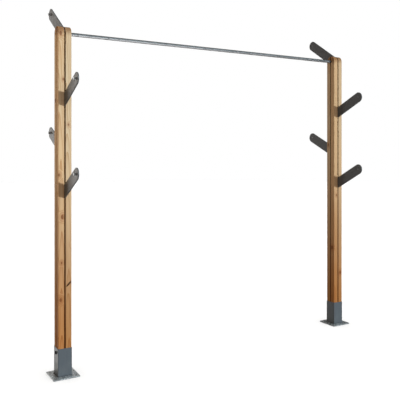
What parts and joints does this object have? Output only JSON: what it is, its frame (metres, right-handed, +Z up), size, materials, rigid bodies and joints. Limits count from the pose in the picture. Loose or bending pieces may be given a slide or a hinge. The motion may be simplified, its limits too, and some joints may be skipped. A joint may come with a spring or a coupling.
{
  "type": "monkey bars",
  "caption": "Outdoor hanging bar between square timber posts on steel feet, with sloping flat steel arms that stick out to the front and back of each post.",
  "frame": {"origin": "on the ground, midway between the two posts, at the centre of the bottom of the bounding box", "axes": "+X along the bar, +Y from front to back, +Z up"},
  "size_m": [2.74, 0.685, 2.64],
  "materials": {
    "post_timber": "oiled sawn softwood with weathered streaks",
    "plug_wood": "end of a turned wooden plug",
    "plate_steel": "hot-dip galvanised, dull",
    "shoe_steel": "blue-grey coated square tube",
    "weld_steel": "coated weld bead",
    "bar_steel": "drawn steel tube, satin",
    "arm_steel": "charcoal powder coat",
    "bolt_steel": "black coated coach screw and washer",
    "screw_steel": "zinc plated"
  },
  "bodies": {
    "root": {"left_post": "post_timber", "left_base_plate": "plate_steel", "left_shoe": "shoe_steel", "left_foot_weld": "weld_steel", "left_shoe_screw": "bolt_steel", "left_shoe_washer": "bolt_steel", "left_front_upper_arm": "arm_steel", "left_front_lower_arm": "arm_steel", "left_back_upper_arm": "arm_steel", "left_back_lower_arm": "arm_steel", "left_arm_screws": "screw_steel", "left_screw_washers": "screw_steel", "left_screw_plugs": "plug_wood", "left_tip_bolts": "screw_steel", "left_tip_nuts": "screw_steel", "left_tip_washers": "screw_steel", "right_post": "post_timber", "right_base_plate": "plate_steel", "right_shoe": "shoe_steel", "right_foot_weld": "weld_steel", "right_shoe_screw": "bolt_steel", "right_shoe_washer": "bolt_steel", "right_front_upper_arm": "arm_steel", "right_front_lower_arm": "arm_steel", "right_back_upper_arm": "arm_steel", "right_back_lower_arm": "arm_steel", "right_arm_screws": "screw_steel", "right_screw_washers": "screw_steel", "right_screw_plugs": "plug_wood", "right_tip_bolts": "screw_steel", "right_tip_nuts": "screw_steel", "right_tip_washers": "screw_steel", "top_bar": "bar_steel", "bar_lock_pins": "screw_steel"}
  },
  "joints": []
}
